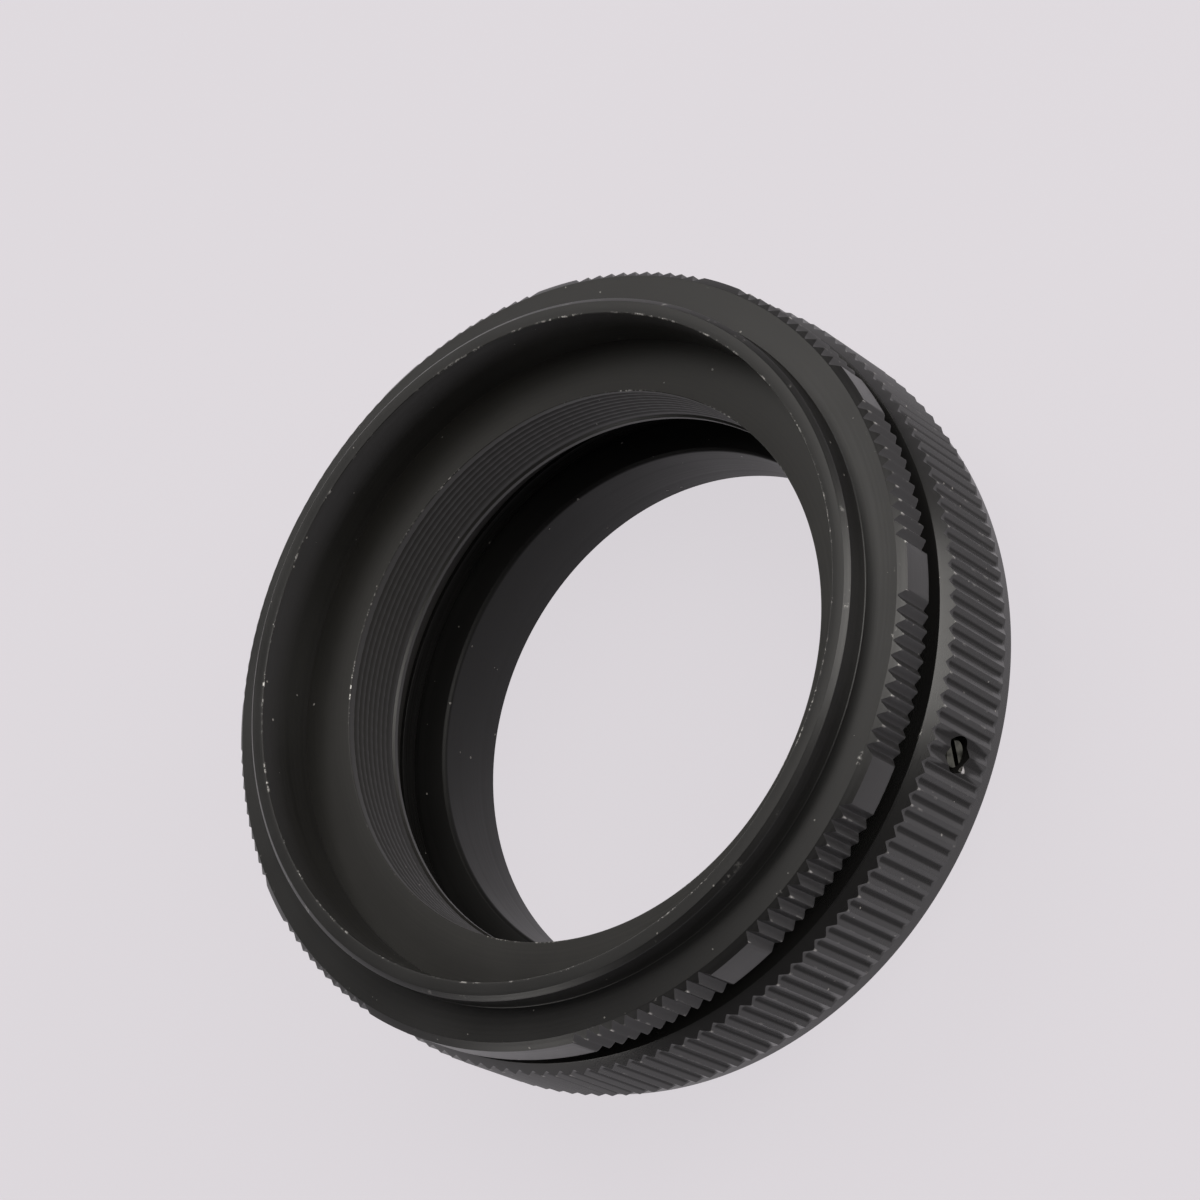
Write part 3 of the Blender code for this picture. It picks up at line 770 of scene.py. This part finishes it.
def thread_tree():
    """Runs a ridge of V section along a helix inside a bore."""
    inputs = {
        "Turns": 8.0,
        "Steps per Turn": 120,
        "Radius": 0.021,
        "Length": 0.006,
        "Ridge Height": 0.0004,
        "Ridge Width": 0.0007,
        "Start Height": 0.0,
        "Material": None,
    }
    graph, given, leave = new_group("internal_thread", "GeometryNodeTree", inputs, ["Geometry"])
    helix = graph.add("GeometryNodeCurveSpiral", {
        "Resolution": given["Steps per Turn"],
        "Rotations": given["Turns"],
        "Start Radius": given["Radius"],
        "End Radius": given["Radius"],
        "Height": given["Length"],
    })
    upright = graph.add("GeometryNodeSetCurveNormal", {"Curve": helix.outputs[0]}, mode="Z_UP")
    section = graph.add("GeometryNodeCurvePrimitiveQuadrilateral", mode="POINTS")
    half = graph.over(given["Ridge Width"], 2.0)
    flat = graph.over(given["Ridge Width"], 16.0)
    under = graph.times(given["Ridge Height"], -0.15)
    corners = [
        (under, half),
        (under, graph.times(half, -1.0)),
        (given["Ridge Height"], graph.times(flat, -1.0)),
        (given["Ridge Height"], flat),
    ]
    for index, (high, along) in enumerate(corners):
        graph.feed(section.inputs[f"Point {index + 1}"], graph.join(high, along))
    curves = {"Curve": upright.outputs[0], "Profile Curve": section.outputs[0], "Fill Caps": True}
    ridge = graph.add("GeometryNodeCurveToMesh", curves)
    lift = graph.join(z=given["Start Height"])
    move = graph.add("GeometryNodeTransform", {"Geometry": ridge.outputs[0], "Translation": lift})
    return end_tree(graph, move.outputs[0], given, leave)


def circle_tree():
    """Sets copies of one piece on a circle round Z."""
    inputs = {"Geometry": None, "Count": 4, "Radius": 0.02, "Material": None}
    graph, given, leave = new_group("copies_on_circle", "GeometryNodeTree", inputs, ["Geometry"])
    line = graph.add("GeometryNodeMeshLine", {"Count": given["Count"], "Offset": (0.0, 0.0, 0.0)})
    turn = graph.over(graph.times(graph.add("GeometryNodeInputIndex").outputs[0], math.tau), given["Count"])
    parts = [graph.times(graph.math(kind, turn), given["Radius"]) for kind in ("COSINE", "SINE")]
    spots = {"Geometry": line.outputs[0], "Position": graph.join(*parts)}
    points = graph.add("GeometryNodeSetPosition", spots).outputs[0]
    copies = graph.add("GeometryNodeInstanceOnPoints", {"Points": points, "Instance": given["Geometry"]})
    return end_tree(graph, copies.outputs[0], given, leave)


def run_nodes(item, tree, values):
    """Runs a Geometry Nodes tree on an object with named values and keeps the result as its mesh."""
    modifier = item.modifiers.new(tree.name, "NODES")
    modifier.node_group = tree
    for socket in tree.interface.items_tree:
        if socket.item_type == "SOCKET" and socket.in_out == "INPUT" and socket.name in values:
            modifier[socket.identifier] = values[socket.name]
    bake_modifiers(item)


def radial_frame(angle, level):
    """Gives the frame of a radial screw: local Z points outwards, local X down the tube."""
    lean = Matrix.Rotation(math.radians(90.0), 4, "Y")
    return Matrix.Translation((0.0, 0.0, level)) @ Matrix.Rotation(angle, 4, "Z") @ lean


def on_circle(radius, angle):
    """Gives the shift to a place on a circle round Z."""
    return Matrix.Translation((radius * math.cos(angle), radius * math.sin(angle), 0.0))


# Operators


class MakeFrontRing(bpy.types.Operator):
    """Make the front ring with its gripped flange and its thread"""

    bl_idname = "tube.make_front_ring"
    bl_label = "Front ring"

    def section(self, sizes):
        """Gives the corners of the ring's section, down the outside and up the bore."""
        face = LIP_LEVEL - sizes.collar_length
        rear = face - sizes.flange_thickness
        floor = LIP_LEVEL - sizes.counterbore_depth
        thread_end = floor - sizes.thread_length
        land = sizes.thread_land
        step = sizes.thread_root - sizes.thread_crest
        return [
            (sizes.counterbore, LIP_LEVEL, 0.00007),
            (sizes.collar - sizes.lip_chamfer, LIP_LEVEL, CRISP),
            (sizes.collar, LIP_LEVEL - sizes.lip_chamfer, 0.00008),
            (sizes.collar, face, SOFT),
            (sizes.flange - sizes.chamfer_width, face, CRISP),
            (sizes.flange, face - sizes.chamfer_drop, 0.0),
            (sizes.flange, rear, 0.0003),
            (sizes.hub, rear, SOFT),
            (sizes.hub, GRUB_LEVEL + sizes.lock_groove, 0.0),
            (sizes.hub - sizes.lock_groove, GRUB_LEVEL, 0.0),
            (sizes.hub, GRUB_LEVEL - sizes.lock_groove, 0.0),
            (sizes.hub, HUB_REAR, SOFT),
            (sizes.relief, HUB_REAR, SOFT),
            (sizes.relief, thread_end, SOFT),
            (sizes.thread_crest, thread_end, 0.00004),
            (sizes.thread_crest, thread_end + land, 0.0),
            (sizes.thread_root, thread_end + land + step, 0.0),
            (sizes.thread_root, floor - land - step, 0.0),
            (sizes.thread_crest, floor - land, 0.0),
            (sizes.thread_crest, floor, 0.00006),
            (sizes.counterbore, floor, 0.0),
        ]

    def execute(self, context):
        """Turns the section, cuts the grip and runs the thread."""
        sizes = context.scene.tube_front_ring
        colours = context.scene.tube_finish
        sector = math.tau / sizes.pads
        pitch = (sector - sizes.pad_angle) / sizes.grooves
        columns = [groove + step for groove in range(sizes.grooves) for step in GROOVE_STEPS]
        angles = []
        for pad in range(sizes.pads):
            start = sizes.first_pad + sector * pad - sizes.pad_angle / 2
            angles += [start + sizes.pad_angle * step / PAD_STEPS for step in range(PAD_STEPS)]
            angles += [start + sizes.pad_angle + pitch * column for column in columns]
        floor = LIP_LEVEL - sizes.counterbore_depth
        face = LIP_LEVEL - sizes.collar_length
        bevel = sizes.lip_chamfer / 2
        edges = [
            worn_edge(sizes.counterbore, LIP_LEVEL, reach=0.00016, patches=300.0, amount=0.54),
            worn_edge(sizes.collar - bevel, LIP_LEVEL - bevel, reach=0.00025, patches=350.0, amount=0.42),
            worn_edge(sizes.thread_crest, floor, reach=0.00011, patches=260.0, amount=0.5),
            worn_edge(sizes.flange - sizes.chamfer_width, face, reach=0.0003, patches=900.0, amount=0.36),
        ]
        inside = (colours.inner_black, sizes.counterbore)
        tips = (face - sizes.chamfer_drop, 0.8)
        black = worn_black("black_anodised_front", colours.black, 0.36, edges, inside, tips, turning=0.8)
        ring = turned("front_ring_turned", self.section(sizes), angles)
        run_nodes(ring, grip_tree(), {
            "Surface Radius": sizes.flange,
            "Depth": sizes.groove_depth,
            "Crest Width": sizes.groove_crest,
            "Rounding": 0.00006,
            "Root Rounding": 0.00006,
            "Pads": float(sizes.pads),
            "Pad Angle": sizes.pad_angle,
            "First Pad": sizes.first_pad,
            "Grooves": float(sizes.grooves),
            "Smooth Gap": float(sizes.name_gap),
            "Front Height": face - sizes.chamfer_drop,
            "Front Slope": sizes.chamfer_drop / sizes.chamfer_width,
            "Rear Height": face - sizes.flange_thickness,
            "Material": black,
        })
        finish_piece(ring, "front_body", ["front_ring"])
        thread = place("internal_thread", bpy.data.meshes.new("internal_thread"))
        inner = worn_black("black_thread", colours.inner_black, 0.52, [], turning=0.0, gloss=0.3)
        turns = (sizes.thread_length - 2 * sizes.thread_land - sizes.thread_pitch) / sizes.thread_pitch
        run_nodes(thread, thread_tree(), {
            "Turns": turns,
            "Radius": sizes.thread_root,
            "Length": sizes.thread_pitch * turns,
            "Ridge Height": sizes.thread_height,
            "Ridge Width": 0.9 * sizes.thread_pitch,
            "Start Height": floor - sizes.thread_length + sizes.thread_land + sizes.thread_pitch / 2,
            "Material": inner,
        })
        finish_piece(thread, "front_body", [])
        return {"FINISHED"}


class MakeKnurledRing(bpy.types.Operator):
    """Make the knurled ring with the holes for its grub screws"""

    bl_idname = "tube.make_knurled_ring"
    bl_label = "Knurled ring"

    def execute(self, context):
        """Turns the section, cuts the knurl and drills the holes."""
        sizes = context.scene.tube_knurled_ring
        screws = context.scene.tube_screws
        colours = context.scene.tube_finish
        lip_top = RING_REAR + sizes.lip_length
        rise = sizes.crest - sizes.lip
        face_edge = sizes.crest - sizes.face_chamfer
        corners = [
            (face_edge, RING_FRONT, 0.00006),
            (sizes.crest, RING_FRONT - sizes.face_drop, 0.0),
            (sizes.crest, lip_top + rise, 0.0),
            (sizes.lip, lip_top, SOFT),
            (sizes.lip, RING_REAR + sizes.rear_chamfer, CRISP),
            (sizes.lip - sizes.rear_chamfer, RING_REAR, CRISP),
            (sizes.recess, RING_REAR, CRISP),
            (sizes.recess, sizes.web_rear, 0.0),
            (sizes.web_bore, sizes.web_rear, CRISP),
            (sizes.web_bore, sizes.web_front, CRISP),
            (sizes.bore, sizes.web_front, 0.0),
            (sizes.bore, RING_FRONT, 0.00006),
        ]
        pitch = math.tau / sizes.grooves
        angles = [pitch * (groove + step) for groove in range(sizes.grooves) for step in GROOVE_STEPS]
        edges = [
            worn_edge(face_edge, RING_FRONT, reach=0.00012, patches=500.0, amount=0.36),
            worn_edge(sizes.lip, RING_REAR, reach=0.00025, patches=500.0, amount=0.4),
        ]
        tips = (RING_FRONT - sizes.face_drop, 0.6)
        edge = screws.grub_angle - CHIP_ANGLE
        rim = (sizes.crest * math.cos(edge), sizes.crest * math.sin(edge), GRUB_LEVEL - CHIP_DROP)
        chip = (rim, CHIP_RADIUS)
        # Heights between which the bottoms of the knurl's grooves get painted shade
        shaded_roots = (lip_top + rise, RING_FRONT - sizes.face_drop)
        black = worn_black("black_anodised_ring", colours.black, 0.27, edges, None, tips, chip, shaded_roots, 0.4)
        ring = turned("knurled_ring_turned", corners, angles)
        run_nodes(ring, grip_tree(), {
            "Surface Radius": sizes.crest,
            "Depth": sizes.groove_depth,
            "Crest Width": sizes.groove_crest,
            "Rounding": 0.00003,
            "Root Rounding": 0.00005,
            "Grooves": float(sizes.grooves),
            "Front Height": RING_FRONT - sizes.face_drop,
            "Front Slope": sizes.face_drop / sizes.face_chamfer,
            "Rear Height": lip_top + rise,
            "Rear Slope": 1.0,
            "Material": black,
        })
        radius = screws.grub_radius + screws.clearance
        for angle in even_angles(screws.grub_count):
            hole = rod("grub_hole", radius, sizes.bore - OVERSHOOT, sizes.crest + OVERSHOOT, GRUB_SIDES)
            drill(ring, hole, radial_frame(screws.grub_angle + angle, GRUB_LEVEL))
        radius = screws.mount_radius + screws.clearance
        for angle in even_angles(screws.mount_count):
            low = sizes.web_rear - OVERSHOOT / 2
            hole = rod("web_hole", radius, low, sizes.web_front + OVERSHOOT / 2, SCREW_SIDES)
            drill(ring, hole, on_circle(screws.mount_circle, angle))
        finish_piece(ring, "rear_body", ["knurled_ring"])
        return {"FINISHED"}


class MakeBayonetMount(bpy.types.Operator):
    """Make the bayonet mount with its lugs and screw holes"""

    bl_idname = "tube.make_bayonet_mount"
    bl_label = "Bayonet mount"

    def lug(self, sizes, start):
        """Makes one lug as a block bent round the barrel."""
        high = PLATE_REAR - sizes.lug_setback
        low = high - sizes.lug_thickness
        inner = sizes.barrel - LUG_OVERLAP
        corners = ((inner, low), (sizes.lug, low), (sizes.lug, high), (inner, high))
        shape = bmesh.new()
        columns = []
        for step in range(LUG_STEPS + 1):
            angle = start + sizes.lug_angle * step / LUG_STEPS
            across = Vector((math.cos(angle), math.sin(angle), 0.0))
            spots = [across * radius + Vector((0.0, 0.0, level)) for radius, level in corners]
            columns.append([shape.verts.new(spot) for spot in spots])
        for here, there in zip(columns, columns[1:]):
            for row in range(len(corners)):
                below = (row + 1) % len(corners)
                shape.faces.new((here[row], there[row], there[below], here[below]))
        shape.faces.new(columns[0])
        shape.faces.new(columns[-1])
        bmesh.ops.recalc_face_normals(shape, faces=shape.faces)
        return place_shape("lug", shape)

    def execute(self, context):
        """Turns plate and barrel, joins the lugs and drills the screw holes."""
        sizes = context.scene.tube_bayonet
        screws = context.scene.tube_screws
        colours = context.scene.tube_finish
        corners = [
            (sizes.mouth + sizes.mouth_chamfer, PLATE_FRONT, 0.00012),
            (sizes.plate, PLATE_FRONT, CRISP),
            (sizes.plate, PLATE_REAR, 0.00008),
            (sizes.barrel, PLATE_REAR, 0.0),
            (sizes.barrel, sizes.barrel_chamfer, CRISP),
            (sizes.barrel - sizes.barrel_chamfer, 0.0, CRISP),
            (sizes.bore, 0.0, CRISP),
            (sizes.mouth, PLATE_FRONT - sizes.mouth_chamfer, 0.0004),
        ]
        edges = [
            worn_edge(sizes.lug, PLATE_REAR - sizes.lug_setback, reach=0.0002, patches=500.0, amount=0.5),
            worn_edge(sizes.barrel, sizes.barrel_chamfer, reach=0.0002, patches=400.0, amount=0.42),
        ]
        satin = worn_black("dark_satin_metal", colours.black, 0.45, edges, turning=0.8, gloss=0.2)
        mount = turned("rear_mount", corners, even_angles(PLAIN_SIDES))
        for angle in even_angles(sizes.lugs):
            combine(mount, self.lug(sizes, sizes.first_lug + angle), "UNION")
        shank = screws.mount_radius + screws.clearance
        sink = screws.mount_head + screws.clearance
        profile = [
            (0.0, PLATE_FRONT + OVERSHOOT),
            (shank, PLATE_FRONT + OVERSHOOT),
            (shank, PLATE_REAR + sink - shank),
            (sink, PLATE_REAR),
            (sink, PLATE_REAR - OVERSHOOT),
            (0.0, PLATE_REAR - OVERSHOOT),
        ]
        for angle in even_angles(screws.mount_count):
            hole = lathe_solid("plate_hole", profile, SCREW_SIDES)
            drill(mount, hole, on_circle(screws.mount_circle, angle))
        paint(mount, satin)
        finish_piece(mount, "rear_body", ["bayonet_mount"])
        return {"FINISHED"}


class MakeGrubScrews(bpy.types.Operator):
    """Make the slotted grub screws"""

    bl_idname = "tube.make_grub_screws"
    bl_label = "Grub screws"

    def execute(self, context):
        """Turns each screw on its own axis and cuts its slot."""
        sizes = context.scene.tube_screws
        metal = screw_metal()
        shoulder = sizes.grub_tip + sizes.grub_radius - sizes.grub_point
        rim = 0.15 * sizes.grub_radius
        profile = [
            (0.0, sizes.grub_outer),
            (sizes.grub_radius - rim, sizes.grub_outer),
            (sizes.grub_radius, sizes.grub_outer - rim),
            (sizes.grub_radius, shoulder),
            (sizes.grub_point, sizes.grub_tip),
            (0.0, sizes.grub_tip),
        ]
        head = Matrix.Translation((0.0, 0.0, sizes.grub_outer))
        tilt = Matrix.Rotation(sizes.grub_slot_tilt, 4, "Z") @ head
        for number, angle in enumerate(even_angles(sizes.grub_count), start=1):
            screw = lathe_solid(f"grub_screw_turned_{number}", profile, GRUB_SIDES)
            cut_slot(screw, sizes.grub_radius, sizes.grub_slot, sizes.grub_slot_depth, tilt)
            screw.data.transform(radial_frame(sizes.grub_angle + angle, GRUB_LEVEL))
            paint(screw, metal)
            finish_piece(screw, f"grub_{number}", [f"grub_screw_{number}"])
        return {"FINISHED"}


class MakeMountScrews(bpy.types.Operator):
    """Make the countersunk screws of the bayonet mount"""

    bl_idname = "tube.make_mount_screws"
    bl_label = "Mount screws"

    def execute(self, context):
        """Makes one screw and sets copies of it on a circle, in the plain nickel that the frame gives."""
        sizes = context.scene.tube_screws
        profile = [
            (0.0, SCREW_HIGH.z),
            (sizes.mount_radius, SCREW_HIGH.z),
            (sizes.mount_radius, PLATE_REAR + sizes.mount_head - sizes.mount_radius),
            (sizes.mount_head, PLATE_REAR),
            (0.0, PLATE_REAR),
        ]
        screws = lathe_solid("mount_screws", profile, SCREW_SIDES)
        head = Matrix.Translation((0.0, 0.0, PLATE_REAR))
        cut_slot(screws, sizes.mount_head, sizes.mount_slot, sizes.mount_slot_depth, head)
        nickel = bpy.data.materials["nickel_screw"]
        values = {"Count": sizes.mount_count, "Radius": sizes.mount_circle, "Material": nickel}
        run_nodes(screws, circle_tree(), values)
        nodes = [f"mount_screw_{index + 1}" for index in range(sizes.mount_count)]
        finish_piece(screws, "rear_body", nodes)
        return {"FINISHED"}


class MakeStage(bpy.types.Operator):
    """Make the pale floor, the lamps and the camera"""

    bl_idname = "tube.make_stage"
    bl_label = "Stage"

    def camera(self, context, settings):
        """Sets the camera where the photograph was taken from."""
        lean = math.sin(settings.tilt)
        turn = settings.turn
        axis = Vector((lean * math.cos(turn), lean * math.sin(turn), -math.cos(settings.tilt)))
        side = Vector((0.0, 0.0, 1.0)).cross(axis).normalized()
        across = axis.cross(side)
        # Rows are the tube's X, Y and Z as the camera sees them, with x right, y down and z away
        back = Matrix((side, across, axis))
        lip = Vector((settings.lip_right, settings.lip_down, settings.lip_away))
        origin = lip - axis * LIP_LEVEL
        stance = Matrix((back.col[0], -back.col[1], -back.col[2])).transposed()
        data = bpy.data.cameras.new("photo_camera")
        data.sensor_width = 36.0
        data.lens = settings.focal / PHOTO_SIDE * data.sensor_width
        data.clip_start = 0.01
        data.clip_end = 20.0
        camera = bpy.data.objects.new("photo_camera", data)
        context.scene.collection.objects.link(camera)
        camera.matrix_world = Matrix.Translation(back @ -origin) @ stance.to_4x4()
        context.scene.camera = camera

    def floor(self, settings):
        """Lays the pale floor."""
        shape = bmesh.new()
        bmesh.ops.create_grid(shape, x_segments=1, y_segments=1, size=3.0)
        floor = place_shape("floor", shape)
        material, graph, shader = surface("pale_floor")
        graph.feed(shader.inputs["Base Color"], rgba(settings.floor))
        graph.feed(shader.inputs["Roughness"], 0.9)
        glow = graph.add("ShaderNodeEmission", {"Color": rgba(settings.floor)}).outputs[0]
        path = graph.add("ShaderNodeLightPath").outputs
        mirrored = graph.most(path["Is Glossy Ray"], path["Is Transmission Ray"])
        share = graph.times(graph.most(path["Is Camera Ray"], mirrored), settings.glow)
        mix = graph.add("ShaderNodeMixShader", {"Fac": share, 1: shader.outputs[0], 2: glow}).outputs[0]
        graph.feed(material.node_tree.nodes["Material Output"].inputs["Surface"], mix)
        paint(floor, material)

    def lamp(self, context, settings, name, place, width, height, power):
        """Hangs one soft lamp that faces the tube."""
        data = bpy.data.lights.new(name, "AREA")
        data.shape = "RECTANGLE"
        data.size = width
        data.size_y = height
        data.energy = power
        data.color = settings.lamp
        lamp = bpy.data.objects.new(name, data)
        context.scene.collection.objects.link(lamp)
        lamp.location = place
        lamp.rotation_euler = Vector(place).to_track_quat("Z", "Y").to_euler()

    def world(self, context, settings):
        """Fills the room with plain light."""
        world = bpy.data.worlds.new("studio")
        context.scene.world = world
        world.use_nodes = True
        background = world.node_tree.nodes["Background"]
        background.inputs["Color"].default_value = rgba(settings.floor)
        background.inputs["Strength"].default_value = settings.world

    def execute(self, context):
        """Sets the whole stage."""
        settings = context.scene.tube_stage
        self.floor(settings)
        self.world(context, settings)
        for lamp in LAMPS:
            self.lamp(context, settings, *lamp)
        self.camera(context, settings)
        context.scene.view_settings.view_transform = "Standard"
        return {"FINISHED"}


class TUBE_PT_panel(bpy.types.Panel):
    """Lists the steps that build the tube"""

    bl_label = "Extension tube"
    bl_idname = "TUBE_PT_panel"
    bl_space_type = "VIEW_3D"
    bl_region_type = "UI"
    bl_category = "Extension tube"

    def draw(self, context):
        """Draws a button for each step."""
        for step in STEPS:
            self.layout.operator(step.bl_idname)


GROUPS = {
    "tube_front_ring": FrontRingSizes,
    "tube_knurled_ring": KnurledRingSizes,
    "tube_bayonet": BayonetSizes,
    "tube_screws": ScrewSizes,
    "tube_finish": FinishColours,
    "tube_stage": StageSettings,
}
STEPS = (MakeFrontRing, MakeKnurledRing, MakeBayonetMount, MakeGrubScrews, MakeMountScrews, MakeStage)


def register():
    """Registers the classes and hangs the settings on the scene."""
    for kind in (*GROUPS.values(), *STEPS, TUBE_PT_panel):
        bpy.utils.register_class(kind)
    for name, kind in GROUPS.items():
        setattr(bpy.types.Scene, name, PointerProperty(type=kind))


def unregister():
    """Takes the settings and the classes away again."""
    for name in GROUPS:
        delattr(bpy.types.Scene, name)
    for kind in (TUBE_PT_panel, *reversed(STEPS), *GROUPS.values()):
        bpy.utils.unregister_class(kind)


def main():
    """Builds the tube and its stage."""
    register()
    bpy.ops.tube.make_front_ring()
    bpy.ops.tube.make_knurled_ring()
    bpy.ops.tube.make_bayonet_mount()
    bpy.ops.tube.make_grub_screws()
    bpy.ops.tube.make_mount_screws()
    bpy.ops.tube.make_stage()


if __name__ == "__main__":
    main()
